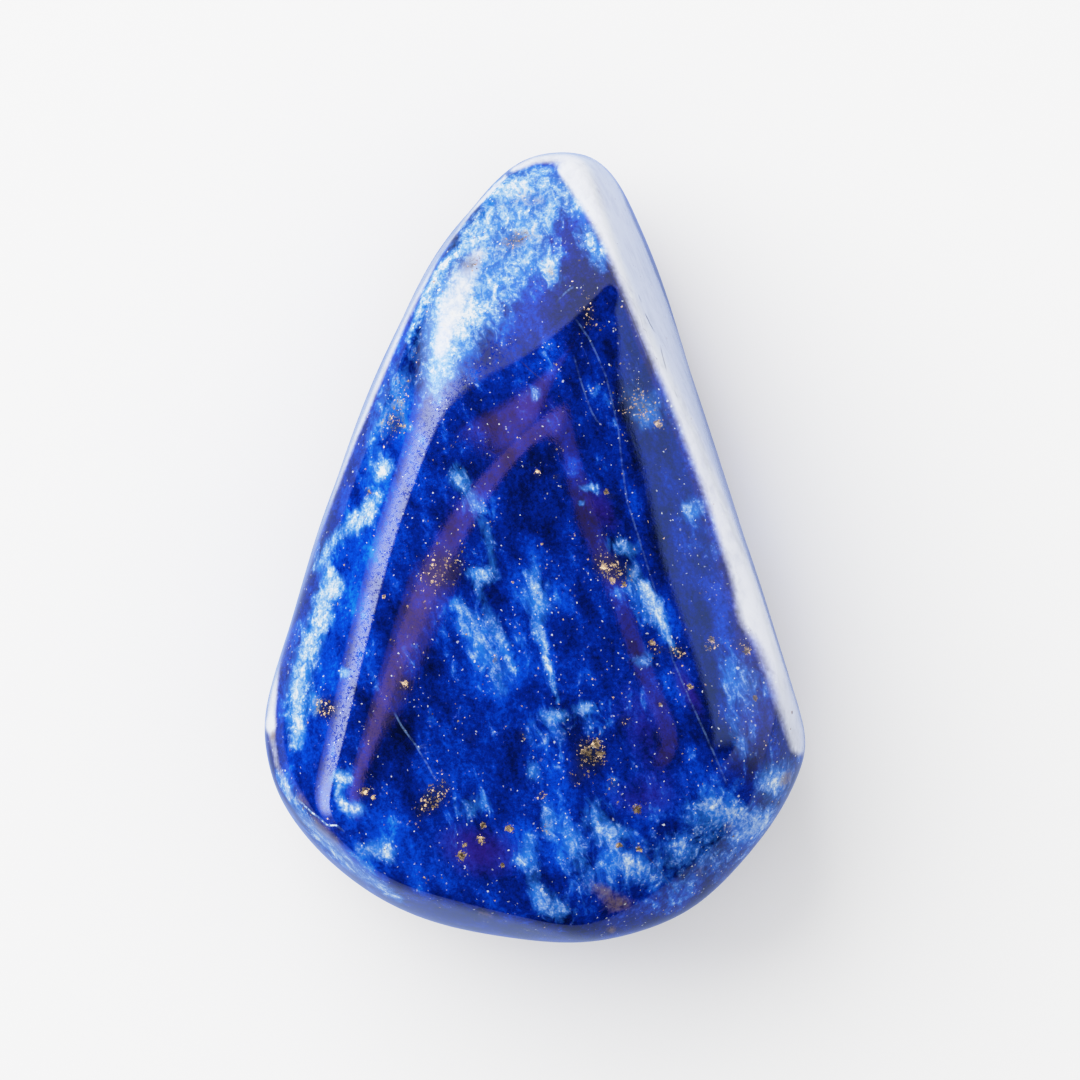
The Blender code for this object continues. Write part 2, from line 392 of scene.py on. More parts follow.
# Single pyrite grains: the pixel of the middle and half the width in pixels.
GRAINS = {
    "wall": (658, 424, 4.5),
    "apex_first": (537, 471, 2.5),
    "apex_second": (606, 492, 3),
    "right_first": (603, 567, 4),
    "right_second": (612, 580, 3.5),
    "right_third": (624, 584, 3),
    "lower_first": (596, 744, 4.5),
    "lower_second": (600, 754, 4),
    "lower_third": (587, 752, 4),
    "middle": (652, 642, 3),
    "beside_dark": (690, 687, 3.2),
    "wall_low": (755, 698, 3),
    "wall_spot": (712, 640, 3.5),
    "wall_right": (747, 651, 4),
    "heel_first": (461, 856, 5),
    "heel_second": (465, 845, 2.5),
    "heel_third": (481, 840, 4),
    "heel_fourth": (483, 826, 3),
    "heel_fifth": (509, 828, 4.5),
    "heel_sixth": (502, 865, 2.5),
    "foot_first": (637, 809, 4.5),
    "foot_second": (619, 845, 3),
    "foot_third": (639, 849, 3.5),
    "corner": (365, 792, 3.5),
    "corner_low": (373, 797, 2.5),
    "strip": (405, 683, 3),
}
# Thin lines: strength, then pixels along each line.
PALE_VEINS_AND_HIGHLIGHT = {
    "long": (0.2, ((575, 318), (590, 340), (606, 376), (618, 426), (622, 465), (627, 501), (641, 545),
        (652, 580), (662, 616), (673, 660), (690, 700), (707, 738), (721, 770), (728, 787))),
    "short": (0.22, ((574, 356), (582, 385), (591, 411), (599, 424))),
    "left": (0.36, ((394, 712), (402, 727), (415, 744), (427, 764), (437, 782))),
    "left_side": (0.4, ((418, 748), (425, 744))),
    # A painted highlight: the same crescent along the dome's left edge, drawn as a strong pale line.
    "crescent_highlight": (1.6, ((470, 242), (456, 253), (441, 269), (428, 291), (418, 314), (408, 342))),
    "curl": (1.6, ((297, 799), (304, 805), (312, 813), (320, 818), (328, 826), (337, 825), (343, 831))),
    "dome": (0.4, ((556, 302), (566, 292), (575, 286))),
}
DARK_CRACKS = {
    "wall_first": (0.8, ((637, 292), (640, 298), (642, 304))),
    "wall_second": (0.9, ((644, 311), (649, 322), (655, 333))),
    "wall_third": (0.6, ((660, 344), (663, 358), (667, 372))),
    "wall_pit": (0.8, ((674, 390), (676, 394), (678, 399))),
    "wall_edge": (0.7, ((604, 255), (611, 272), (628, 308), (644, 347), (657, 380))),
    "heel": (0.45, ((642, 850), (658, 868), (670, 884), (679, 897))),
    "middle": (0.5, ((520, 360), (532, 372), (548, 384))),
}

# Patches and lines, by the names that the material reads.
# The violet and azure patches hold some painted reflections.
PATCH_MARKS = {"azure": AZURE_AND_REFLECTION_PATCHES, "violet": VIOLET_AND_REFLECTION_PATCHES, "shade": SHADE_PATCHES,
               "gold": GOLD_PATCHES, "stain": STAIN_PATCHES}
# The pale veins include a painted highlight on the dome's edge.
LINE_MARKS = {"vein": PALE_VEINS_AND_HIGHLIGHT, "crack": DARK_CRACKS}

# How far below its own face a mark still shows, on top of its half width.
PATCH_DEPTH = 0.3
STREAK_DEPTH = 0.15

# Thin lines: how far below their face they show, the least of the fade that keeps them,
# how far out their strength reaches, and how long their ends taper.
LINE_DEPTH = 0.5
LINE_LEAST = 0.4
LINE_REACH = 0.4
LINE_TAPER = 0.3
FAR = 1.0  # stands for no line or grain near by

# Marks fade between these two heights on the sides, and the hidden part takes over. So it
# does where the stone turns under, as the upward part of its facing changes by this much.
MARKS_END = 4.2
MARKS_FULL = 6.4
TURN_UNDER = 0.25

# What the polish reflects, round the stone. Angles are in degrees: zenith angles from
# straight up, and azimuths from +X towards +Y. A gap is a part where a light is missing, from
# a zenith angle down if it says so, apart from the share that is left.
RING_GAPS = {
    "heel": {"azimuth": 272, "half": 56},
    "right": {"azimuth": 10, "half": 50, "left": 0.35},
}
WALL_GAPS = {
    "heel": {"azimuth": 272, "half": 66, "soft": 24},
    "left_low": {"azimuth": 165, "half": 45, "down_from": 74},
}
STUDIO = {
    "ring": {"zenith": (9.2, 12.8), "soft": 0.5, "light": (1.4, 0.75, 2.1), "gaps": RING_GAPS},
    "ring_low": {"zenith": (7.5, 15), "soft": 0.8, "light": (0.8, 0.5, 1.2), "azimuth": 176, "half": 9},
    "arch": {"zenith": (13.0, 24), "soft": 2.5, "light": (1.4, 0.75, 2.1), "azimuth": 117, "half": 9},
    "side": {"zenith": (25.5, 38), "soft": 1.2, "light": (0.75, 1.2, 3.1), "azimuth": 25, "half": 30},
    "walls": {"zenith": (38, 180), "soft": 1.2, "light": (1.2, 1.35, 2.6), "gaps": WALL_GAPS},
    "window": {"zenith": (37, 72), "soft": 2.0, "light": (8.0, 9.0, 12.5), "azimuth": 162, "half": 35,
               "fade": (52, 73)},
}
SIDE_SOFTNESS = 8  # degrees either way over which a light ends at its sides
GAP_SOFTNESS = 2  # the same where a gap starts

# What lights the stone and the floor softly from all round, and what shows behind them.
DOME = (1.15, 1.15, 1.15)
BACKDROP = (1.6, 1.6, 1.6)

# The key light: a wide soft panel, up on the left.
KEY_PLACE = (-240.0, 230.0, 270.0)
KEY_SIZE = 560.0
KEY_WATTS = 3.1

# The floor, and the bluer colour that it has in the polish of the stone.
FLOOR_HALF = 1500.0
FLOOR_COLOUR = (0.86, 0.86, 0.86)
FLOOR_MIRRORED = (0.27, 0.36, 0.66)

# Tone: straight up to a middle grey, and a soft shoulder above it, as (light, shown) pairs.
WHITE_LEVEL = 3.0
SHOULDER = ((0.0, 0.0), (0.4, 0.4), (0.7, 0.64), (1.0, 0.79), (1.5, 0.9), (2.2, 0.965), (3.0, 1.0))

# Colours of the stone, as reflectances. The blues are a ramp.
BLUES = ((0.0, (0.0008, 0.002, 0.014)), (0.22, (0.0006, 0.004, 0.062)), (0.45, (0.0006, 0.010, 0.17)),
         (0.72, (0.0012, 0.036, 0.42)), (1.0, (0.006, 0.13, 0.62)))
# The violet also colours painted purple reflections.
VIOLET = (0.018, 0.006, 0.115)
HAZE = (0.018, 0.15, 0.60)
PALE = (0.31, 0.42, 0.59)
# The calcite's white, also used for a painted highlight.
CALCITE = (0.62, 0.66, 0.67)
# The film's white, partly a painted reflection of the bright surroundings.
FILM_AND_REFLECTION = (0.60, 0.62, 0.67)
STAIN = (0.13, 0.085, 0.05)
MATRIX = (0.006, 0.008, 0.016)
PYRITE = (0.74, 0.51, 0.28)
VEIN = (0.16, 0.30, 0.62)
CRACK = (0.03, 0.025, 0.03)

# The stone's fabric runs from the tip's left down to the heel's right.
FABRIC = math.radians(-73)
FABRIC_STRETCH = 0.5

# Noises: repeats per millimetre, detail, roughness and distortion. The first three are drawn
# out along the fabric.
DRAWN_NOISES = {
    "broad": (0.25, 3.0, 0.55, 0.0),
    "middle": (1.0, 4.0, 0.6, 0.0),
    "wisps": (2.8, 3.0, 0.65, 0.8),
}
EVEN_NOISES = {
    "fine": (6.0, 2.0, 0.6, 0.0),
    "grain": (15.0, 1.0, 0.55, 0.0),
}

# Mixes: the weights of the noises, painted markings and earlier layers that are summed.
MIXES = {
    "blue": {"broad": 0.3, "middle": 0.55, "wisps": 0.22, "fine": 0.26, "grain": 0.16,
             "azure": 0.42, "shade": -0.36, "hidden": 0.06},
    "cloud": {"calcite": 1, "drift": 0.75, "scattered": 1, "shade": -0.45},
    "ragged": {"middle": 2.4, "wisps": 1.3, "fine": 0.5},
    "line_wobble": {"wisps": 0.025},
    "grain_wobble": {"fine": 0.22, "grain": 0.22},
    "relief": {"wisps": 0.15, "fine": 0.06, "grain": 0.05},
}

# Levels: a mix, the sums between which it takes effect and, unless 0 and 1, its effect there.
LEVELS = {
    # Violet: partly the stone's own, partly a painted purple reflection.
    "violet": ({"violet": 1, "middle": 0.35, "fine": 0.2, "hidden_broad": 1.2}, 0.22, 0.85, 0.0, 0.8),
    "drift": ({"broad": 1}, 0.05, 0.45),
    "scattered": ({"middle": 1, "wisps": 0.5}, 0.1, 0.8, 0.0, 0.3),
    "haze": ({"cloud": 1, "middle": 0.4, "wisps": 0.4}, 0.14, 0.72, 0.0, 0.85),
    "pale": ({"cloud": 1, "middle": 0.3, "wisps": 0.75, "fine": 0.35, "grain": 0.25}, 0.4, 1.05, 0.0, 0.92),
    "white": ({"cloud": 1, "middle": 0.36, "wisps": 0.9, "fine": 0.42, "grain": 0.3}, 0.78, 1.35),
    # The film's edge and veil: the film is partly calcite and partly a painted reflection.
    "film_edge": ({"film_and_reflection": 1, "ragged_film": 1, "wisps": 0.05, "fine": 0.05}, 0.3, 0.68),
    "film_veil": ({"middle": 1, "wisps": 1}, -0.9, 0.3, 0.74, 0.95),
    "vein_breaks": ({"wisps": 1, "fine": 1}, -0.4, 0.5, 0.1, 1.0),
    "stained": ({"stain": 1, "wisps": 0.5, "fine": 0.4}, 0.2, 1.0, 0.0, 0.75),
    "golden_drift": ({"middle": 1}, 0.25, 0.7),
    "golden": ({"gold": 1, "golden_drift": 0.6, "wisps": 0.35, "fine": 0.3}, 0.2, 0.75),
    "crowd": ({"middle": 1, "wisps": 1}, -0.5, 0.7, 0.1, 1.6),
    "pits": ({"fine": 1, "grain": 1}, -0.1, 0.45),
    "roughness": ({"cloud": 1, "pyrite": 1}, 0.0, 1.0, 0.42, 0.55),
}
BLUE_DEPTH = 0.33  # where the plain blue lies on its ramp

# Thin lines in the material: half widths, the share of them that is solid, the strengths
# between which a vein turns white, and how much a crack covers.
VEIN_HALF_WIDTH = 0.05
CRACK_HALF_WIDTH = 0.03
LINE_CORE = 0.4
# A line as strong as the painted highlight on the dome's edge turns fully white.
VEIN_WHITE = (0.7, 1.3)
CRACK_COVER = 0.8

# Single grains are measured out to some half widths, and their edge lies between two shares
# of that.
GRAIN_SPAN = 4.0
GRAIN_EDGE = (0.18, 0.25)

# Crystals in cells of three sizes: cells per millimetre, a crystal's share of its cell, how
# much of the plain blue and of the golden patches holds pyrite, and how much white specks.
CRYSTALS = {
    "coarse": {"cells": 3.2, "share": 0.27, "plain": 0.003, "rich": 0.35, "specks": 0.002},
    "medium": {"cells": 6.0, "share": 0.33, "plain": 0.005, "rich": 0.60, "specks": 0.010},
    "small": {"cells": 11.0, "share": 0.40, "plain": 0.008, "rich": 0.60, "specks": 0.05},
}
CRYSTAL_CORE = 0.75  # share of a crystal that is solid
CRYSTAL_GLEAM = (0.35, 1.15)
CLOUD_SPECKS = 0.06  # how many more specks there are in calcite
SPECK_COVER = 0.75
MATRIX_COVER = 0.72
PYRITE_METAL = 0.4
CRUMBLE_NOISE = 11.0  # repeats per millimetre of the noise that makes crystals ragged
CRUMBLE_DEPTH = 0.12

# The polish, and the depth of the finest relief.
COAT_ROUGHNESS = 0.03
COAT_IOR = 1.5
BUMP_DEPTH = 0.004


def facing(azimuth, tilt):
    """Unit vector at an azimuth from +X and a tilt from straight up, in degrees."""
    around = math.radians(azimuth)
    down = math.radians(tilt)
    return np.array((math.sin(down) * math.cos(around),
                     math.sin(down) * math.sin(around),
                     math.cos(down)))


def blend(shares, power):
    """Power sum of the columns, which is close to the largest of them."""
    largest = shares.max(axis=1) + TINY
    scaled = shares / largest[:, None]
    return largest * (scaled ** power).sum(axis=1) ** (1.0 / power)


def closeness(directions, facets, power):
    """One over the distance to a group of facets, along unit directions."""
    planes = np.array([facing(azimuth, tilt) / distance for azimuth, tilt, distance in facets.values()])
    return blend(np.maximum(directions @ planes.T, 0.0), power)


def reach(directions):
    """Distance from the inner point to the stone's surface along unit directions."""
    above = closeness(directions, {**UPPER_FACETS, **SIDE_FACETS}, EDGE_SHARPNESS)
    below = closeness(directions, UNDER_FACETS, UNDER_SHARPNESS)
    return 1.0 / blend(np.stack((above, below), axis=1), UNDER_SHARPNESS)


def swell(points):
    """Waviness in millimetres, stronger on the lower half of the stone."""
    long_wave = np.sin(points @ np.array(LONG_SWELL) + LONG_PHASE)
    cross_wave = np.cos(points @ np.array(CROSS_SWELL) + CROSS_PHASE)
    below = np.clip(0.5 - points[:, 2] / WAVE_CHANGE, 0.0, 1.0)
    return (WAVE_ABOVE + (WAVE_BELOW - WAVE_ABOVE) * below) * long_wave * cross_wave


def chip_depths(points):
    """How far the chips cut into the stone at each point, in millimetres."""
    depths = np.zeros(len(points))
    for azimuth, tilt, radius, depth in CHIPS.values():
        direction = facing(azimuth, tilt)
        middle = direction * reach(direction[None, :])[0]
        away = np.linalg.norm(points - middle, axis=1) / radius
        depths += depth * np.clip(1.0 - away ** 2, 0.0, 1.0) ** CHIP_POWER
    return depths


def bearing_heights(points):
    """How far the swellings stand below the flat spot, in millimetres."""
    heights = np.zeros(len(points))
    for turn in BEARING_TURNS:
        around = math.radians(turn)
        middle = BEARING_CIRCLE * np.array((math.cos(around), math.sin(around)))
        away = np.linalg.norm(points[:, :2] - middle, axis=1) / BEARING_RADIUS
        heights += BEARING_HEIGHT * np.clip(1.0 - away ** 2, 0.0, 1.0) ** BEARING_POWER
    return np.where(points[:, 2] < 0.0, heights, 0.0)


def relaxed(directions, edges):
    """Directions moved so that the points they reach are evenly spread over the stone."""
    counts = np.bincount(edges.ravel(), minlength=len(directions))[:, None]
    for _ in range(RELAX_ROUNDS):
        points = directions * reach(directions)[:, None]
        sums = np.zeros_like(points)
        np.add.at(sums, edges[:, 0], points[edges[:, 1]])
        np.add.at(sums, edges[:, 1], points[edges[:, 0]])
        directions = sums / counts
        directions /= np.linalg.norm(directions, axis=1, keepdims=True)
    return directions


def stone_points(directions):
    """Surface points in millimetres, measured from the inner point."""
    points = directions * reach(directions)[:, None]
    moved = swell(points) - chip_depths(points)
    points = points + directions * moved[:, None]
    points[:, 2] = np.maximum(points[:, 2], -INNER_HEIGHT) - bearing_heights(points)
    return points


def fitted_to_cad(points):
    """Points in metres that fill the CAD solid's box exactly."""
    lowest = points.min(axis=0)
    highest = points.max(axis=0)
    low = np.array(CAD_LOW)
    high = np.array(CAD_HIGH)
    return low + (points - lowest) / (highest - lowest) * (high - low)


def cube_sphere():
    """A cube whose faces are grids of quads, for a mesh without poles."""
    grid = bmesh.new()
    bmesh.ops.create_cube(grid, size=2.0)
    bmesh.ops.subdivide_edges(grid, edges=grid.edges[:], cuts=CUBE_CELLS - 1, use_grid_fill=True)
    mesh = bpy.data.meshes.new("lapis_stone")
    grid.to_mesh(mesh)
    grid.free()
    return mesh


def read_floats(collection, name, width):
    """One value of each item of a collection, as rows of numbers."""
    values = np.empty(len(collection) * width)
    collection.foreach_get(name, values)
    return values.reshape(-1, width)


def add_object(name, data):
    """A new object in the scene."""
    added = bpy.data.objects.new(name, data)
    bpy.context.scene.collection.objects.link(added)
    return added


def make_stone():
    """The stone: a cube of quads, pushed out to the stone's surface."""
    mesh = cube_sphere()
    directions = np.tan(read_floats(mesh.vertices, "co", 3) * math.pi / 4)
    directions /= np.linalg.norm(directions, axis=1, keepdims=True)
    edges = np.empty(len(mesh.edges) * 2, dtype=np.int64)
    mesh.edges.foreach_get("vertices", edges)
    directions = relaxed(directions, edges.reshape(-1, 2))
    mesh.vertices.foreach_set("co", fitted_to_cad(stone_points(directions)).ravel())
    mesh.update()
    mesh.shade_smooth()
    return add_object("lapis_stone", mesh)


def photo_places(points):
    """Pixels of the photograph at which points of the stone appear, y downwards."""
    share = (CAMERA_HEIGHT - WIDEST_LEVEL) / (CAMERA_HEIGHT - points[:, 2]) / PIXEL
    return np.stack((PHOTO_SIZE / 2 + (points[:, 0] - CAMERA_SHIFT[0]) * share,
                     PHOTO_SIZE / 2 - (points[:, 1] - CAMERA_SHIFT[1]) * share), axis=1)


def seen_spot(stone, x, y):
    """The point of the stone under a pixel, and the way that the stone faces there."""
    lens = Vector((*CAMERA_SHIFT, CAMERA_HEIGHT))
    level = Vector((CAMERA_SHIFT[0] + (x - PHOTO_SIZE / 2) * PIXEL,
                    CAMERA_SHIFT[1] + (PHOTO_SIZE / 2 - y) * PIXEL, WIDEST_LEVEL))
    hit, place, normal, _ = stone.ray_cast(lens * MM, (level - lens).normalized())
    if not hit:
        _, place, normal, _ = stone.closest_point_on_mesh(level * MM)
    return np.array(place) / MM, np.array(normal)


def lift_fade(points, spot, normal, depth):
    """One on the face that a mark lies on, fading where the stone turns away from it."""
    return np.exp(-((points - spot) @ normal / depth) ** 2)


def patch_field(patches, stone, points, pixels):
    """How strongly a group of patches marks each point, from 0 to 1."""
    bare = np.ones(len(points))
    for x, y, half_length, half_width, turn, strength in patches.values():
        spot, normal = seen_spot(stone, x, y)
        right = pixels[:, 0] - x
        up = y - pixels[:, 1]
        around = math.radians(turn)
        along = (right * math.cos(around) + up * math.sin(around)) / half_length
        across = (up * math.cos(around) - right * math.sin(around)) / half_width
        fade = lift_fade(points, spot, normal, PATCH_DEPTH + half_width * PIXEL)
        bare *= 1.0 - strength * fade * np.exp(-along ** 2 - across ** 2)
    return 1.0 - bare


def stretch(pixels, start, end):
    """Share of the way along a line's stretch, and the signed distance from it in pixels."""
    way = np.array(end[:2], float) - start[:2]
    length = np.hypot(*way)
    way /= length
    offset = pixels - start[:2]
    share = np.clip(offset @ way / length, 0.0, 1.0)
    apart = offset - share[:, None] * length * way
    side = np.sign(offset @ np.array((-way[1], way[0])))
    return share, side * np.hypot(apart[:, 0], apart[:, 1])


def streak_field(streaks, stone, points, pixels, round_edges=False):
    """How strongly a group of streaks marks each point, from 0 to 1."""
    bare = np.ones(len(points))
    for strength, route in streaks.values():
        mark = np.zeros(len(points))
        for start, end in zip(route, route[1:]):
            share, apart = stretch(pixels, start, end)
            half_width = start[2] + (end[2] - start[2]) * share
            spot, normal = seen_spot(stone, (start[0] + end[0]) / 2, (start[1] + end[1]) / 2)
            fade = 1.0 if round_edges else lift_fade(points, spot, normal, STREAK_DEPTH + start[2] * PIXEL)
            mark = np.maximum(mark, fade * np.exp(-(apart / half_width) ** 2))
        bare *= 1.0 - strength * mark
    return 1.0 - bare


def line_fields(lines, stone, points, pixels):
    """Signed distance to the nearest thin line in millimetres, and that line's strength."""
    nearest = np.full(len(points), FAR)
    strengths = np.zeros(len(points))
    for strength, route in lines.values():
        for start, end in zip(route, route[1:]):
            share, apart = stretch(pixels, start, end)
            apart *= PIXEL
            spot, normal = seen_spot(stone, *start)
            kept = lift_fade(points, spot, normal, LINE_DEPTH) > LINE_LEAST
            closer = kept & (np.abs(apart) < np.abs(nearest))
            nearest = np.where(closer, apart, nearest)
            length = math.dist(start, end) * PIXEL
            from_start = share * length if start == route[0] else FAR
            from_end = (1.0 - share) * length if end == route[-1] else FAR
            taper = np.clip(np.minimum(from_start, from_end) / LINE_TAPER, 0.0, 1.0)
            strengths = np.where(closer & (np.abs(apart) < LINE_REACH), strength * taper, strengths)
    return nearest, strengths


def smooth_step(values, low, high):
    """A smooth rise from 0 to 1 as values go from low to high."""
    share = np.clip((values - low) / (high - low), 0.0, 1.0)
    return share * share * (3.0 - 2.0 * share)


def paint(stone):
    """Write every marking on the stone's points, for the material to read."""
    mesh = stone.data
    bpy.context.view_layer.update()
    points = read_floats(mesh.vertices, "co", 3) / MM
    upward = read_floats(mesh.vertices, "normal", 3)[:, 2]
    places = (stone, points, photo_places(points))
    seen = smooth_step(points[:, 2], MARKS_END, MARKS_FULL)

    clouds = patch_field(CALCITE_PATCHES, *places)
    # The calcite streaks include a painted highlight on the dome's edge.
    streaks = streak_field(CALCITE_AND_HIGHLIGHT_STREAKS, *places)
    fields = {
        "calcite": 1.0 - (1.0 - clouds) * (1.0 - streaks),
        # The film: partly calcite, partly a painted reflection of the bright surroundings.
        "film_and_reflection": streak_field(FILM_AND_REFLECTION_STREAKS, *places, round_edges=True),
        "frost": streak_field(FROST_STREAKS, *places),
    }
    for name, patches in PATCH_MARKS.items():
        fields[name] = patch_field(patches, *places)
    fields = {name: values * seen for name, values in fields.items()}
    for name, lines in LINE_MARKS.items():
        fields[name], fields[name + "_strength"] = line_fields(lines, *places)
    turned_under = np.clip(0.5 - upward / TURN_UNDER, 0.0, 1.0)
    fields["hidden"] = np.maximum(turned_under, 1.0 - seen)
    for name, values in fields.items():
        mesh.attributes.new(name, "FLOAT", "POINT").data.foreach_set("value", values)


class Graph:
    """Short calls for the nodes of one material or world."""

    def __init__(self, tree):
        self.tree = tree

    def add(self, kind, settings=None, **inputs):
        """A node with some settings, and inputs that are sockets or plain values."""
        node = self.tree.nodes.new(kind)
        for name, value in (settings or {}).items():
            setattr(node, name, value)
        self.fill(node, **inputs)
        return node

    def fill(self, node, **inputs):
        """Set inputs of a node, with underscores for the spaces in their names."""
        for name, value in inputs.items():
            self.feed(node.inputs[name.replace("_", " ")], value)

    def feed(self, socket, value):
        """Link a socket to another, or set it to a plain value."""
        if isinstance(value, bpy.types.NodeSocket):
            self.tree.links.new(value, socket)
        else:
            socket.default_value = value

    def math(self, operation, first, second=0.0):
        """The result of one sum with plain numbers."""
        node = self.add("ShaderNodeMath", {"operation": operation})
        self.feed(node.inputs[0], first)
        self.feed(node.inputs[1], second)
        return node.outputs[0]

    def times(self, first, second):
        return self.math("MULTIPLY", first, second)

    def vector(self, operation, first, second=(0.0, 0.0, 0.0), scale=1.0):
        """The result of one sum with vectors."""
        node = self.add("ShaderNodeVectorMath", {"operation": operation})
        self.feed(node.inputs[0], first)
        self.feed(node.inputs[1], second)
        self.feed(node.inputs[3], scale)
        return node.outputs["Value" if operation in ("DOT_PRODUCT", "DISTANCE") else "Vector"]

    def total(self, *terms):
        """Sum of values, each given as a socket or as a (socket, weight) pair."""
        result = 0.0
        for term in terms:
            if isinstance(term, tuple):
                term = self.times(*term)
            result = self.math("ADD", result, term)
        return result

    def steps(self, value, low, high, start=0.0, end=1.0):
        """A smooth rise from start to end as the value goes from low to high."""
        node = self.add("ShaderNodeMapRange", {"interpolation_type": "SMOOTHSTEP"},
                        Value=value, From_Min=low, From_Max=high, To_Min=start, To_Max=end)
        return node.outputs["Result"]

    def window(self, value, low, high, soft):
        """One between low and high, and zero outside them."""
        rise = self.steps(value, low - soft, low + soft)
        fall = self.steps(value, high - soft, high + soft, 1.0, 0.0)
        return self.times(rise, fall)

    def noise(self, place, scale, detail, roughness, distortion):
        """Noise about zero, mostly between -0.5 and 0.5."""
        node = self.add("ShaderNodeTexNoise", Vector=place, Scale=scale, Detail=detail,
                        Roughness=roughness, Distortion=distortion)
        return self.times(self.math("SUBTRACT", node.outputs["Fac"], 0.5), 2.0)

    def cells(self, place, scale):
        """Distance to the middle of the nearest cell, and the cell's random colour."""
        node = self.add("ShaderNodeTexVoronoi", Vector=place, Scale=scale)
        chance = self.add("ShaderNodeSeparateColor", Color=node.outputs["Color"])
        return node.outputs["Distance"], chance.outputs

    def painted(self, name):
        """A value painted on the mesh's points."""
        return self.add("ShaderNodeAttribute", {"attribute_name": name}).outputs["Fac"]

    def coat(self, under, over, share):
        """One colour laid over another by a share from 0 to 1."""
        node = self.add("ShaderNodeMix", {"data_type": "RGBA"})
        self.feed(node.inputs[0], share)
        for socket, colour in ((node.inputs[6], under), (node.inputs[7], over)):
            self.feed(socket, (*colour, 1.0) if isinstance(colour, tuple) else colour)
        return node.outputs[2]


def toward(graph, flat, azimuth, half, soft=SIDE_SOFTNESS):
    """One where a horizontal unit direction is within half degrees of an azimuth."""
    around = math.radians(azimuth)
    way = (math.cos(around), math.sin(around), 0.0)
    along = graph.vector("DOT_PRODUCT", flat, way)
    return graph.steps(along, math.cos(math.radians(half + soft)), math.cos(math.radians(half - soft)))


def missing(graph, flat, zenith, azimuth, half, soft=SIDE_SOFTNESS, down_from=0.0, left=0.0):
    """How much of a light a gap takes away in each direction, from 0 to 1."""
    share = toward(graph, flat, azimuth, half, soft)
    low = graph.steps(zenith, down_from - GAP_SOFTNESS, down_from + GAP_SOFTNESS)
    return graph.times(graph.times(share, low), 1.0 - left)


def studio_light(graph):
    """Colour of the light that the polish reflects from each direction."""
    way = graph.add("ShaderNodeTexCoord").outputs["Generated"]
    parts = graph.add("ShaderNodeSeparateXYZ", Vector=way).outputs
    zenith = graph.math("DEGREES", graph.math("ARCCOSINE", parts["Z"]))
    level = graph.vector("MULTIPLY", way, (1.0, 1.0, 0.0))
    flat = graph.vector("NORMALIZE", level)

    result = (0.0, 0.0, 0.0)
    for source in STUDIO.values():
        share = graph.window(zenith, *source["zenith"], source["soft"])
        for gap in source.get("gaps", {}).values():
            kept = graph.math("SUBTRACT", 1.0, missing(graph, flat, zenith, **gap))
            share = graph.times(share, kept)
        if "azimuth" in source:
            share = graph.times(share, toward(graph, flat, source["azimuth"], source["half"]))
        if "fade" in source:
            share = graph.times(share, graph.steps(zenith, *source["fade"], 1.0, 0.0))
        light = graph.vector("SCALE", source["light"], scale=share)
        result = graph.vector("ADD", result, light)
    return result


def make_world():
    """The studio for the polish, the dome for soft light, and the backdrop for the camera."""
    world = bpy.data.worlds.new("studio")
    world.use_nodes = True
    world.cycles.sampling_method = "NONE"
    bpy.context.scene.world = world
    world.node_tree.nodes.clear()
    graph = Graph(world.node_tree)

    ray = graph.add("ShaderNodeLightPath").outputs
    light = graph.coat(studio_light(graph), DOME, ray["Is Diffuse Ray"])
    light = graph.coat(light, BACKDROP, ray["Is Camera Ray"])
    sky = graph.add("ShaderNodeBackground", Color=light, Strength=1.0)
    graph.add("ShaderNodeOutputWorld", Surface=sky.outputs[0])


def make_key():
    """The key light, aimed at the stone and not seen in its polish."""
    panel = bpy.data.lights.new("key", "AREA")
    panel.shape = "DISK"
    panel.size = KEY_SIZE * MM
    panel.energy = KEY_WATTS
    key = add_object("key", panel)
    key.location = Vector(KEY_PLACE) * MM
    key.rotation_euler = (-key.location).to_track_quat("-Z", "Y").to_euler()
    key.visible_glossy = False


def make_floor():
    """A plain pale floor under the stone."""
    half = FLOOR_HALF * MM
    corners = [(-half, -half, 0), (half, -half, 0), (half, half, 0), (-half, half, 0)]
    mesh = bpy.data.meshes.new("floor")
    mesh.from_pydata(corners, [], [(0, 1, 2, 3)])
    material = bpy.data.materials.new("pale_floor")
    material.use_nodes = True
    graph = Graph(material.node_tree)
    mirrored = graph.add("ShaderNodeLightPath").outputs["Is Glossy Ray"]
    graph.fill(material.node_tree.nodes["Principled BSDF"], Roughness=1.0, Specular_IOR_Level=0.0,
               Base_Color=graph.coat(FLOOR_COLOUR, FLOOR_MIRRORED, mirrored))
    mesh.materials.append(material)
    add_object("floor", mesh)


def make_camera():
    """The camera, straight above the stone."""
    lens = bpy.data.cameras.new("camera")
    lens.sensor_width = CAMERA_SENSOR
    lens.sensor_fit = "AUTO"
    lens.lens = CAMERA_SENSOR * (CAMERA_HEIGHT - WIDEST_LEVEL) / FIELD
    lens.clip_start = CAMERA_NEAR * MM
    lens.clip_end = CAMERA_FAR * MM
    camera = add_object("camera", lens)
    camera.location = Vector((*CAMERA_SHIFT, CAMERA_HEIGHT)) * MM
    bpy.context.scene.camera = camera


def set_tone():
    """Set the tone's shoulder, on the curve that all three colours share."""
    view = bpy.context.scene.view_settings
    view.view_transform = "Standard"
    view.look = "None"
    view.use_curve_mapping = True
    tone = view.curve_mapping
    tone.white_level = (WHITE_LEVEL,) * 3
    shared = tone.curves[3]
    for light, shown in SHOULDER[1:-1]:
        shared.points.new(light / WHITE_LEVEL, shown)
    tone.update()


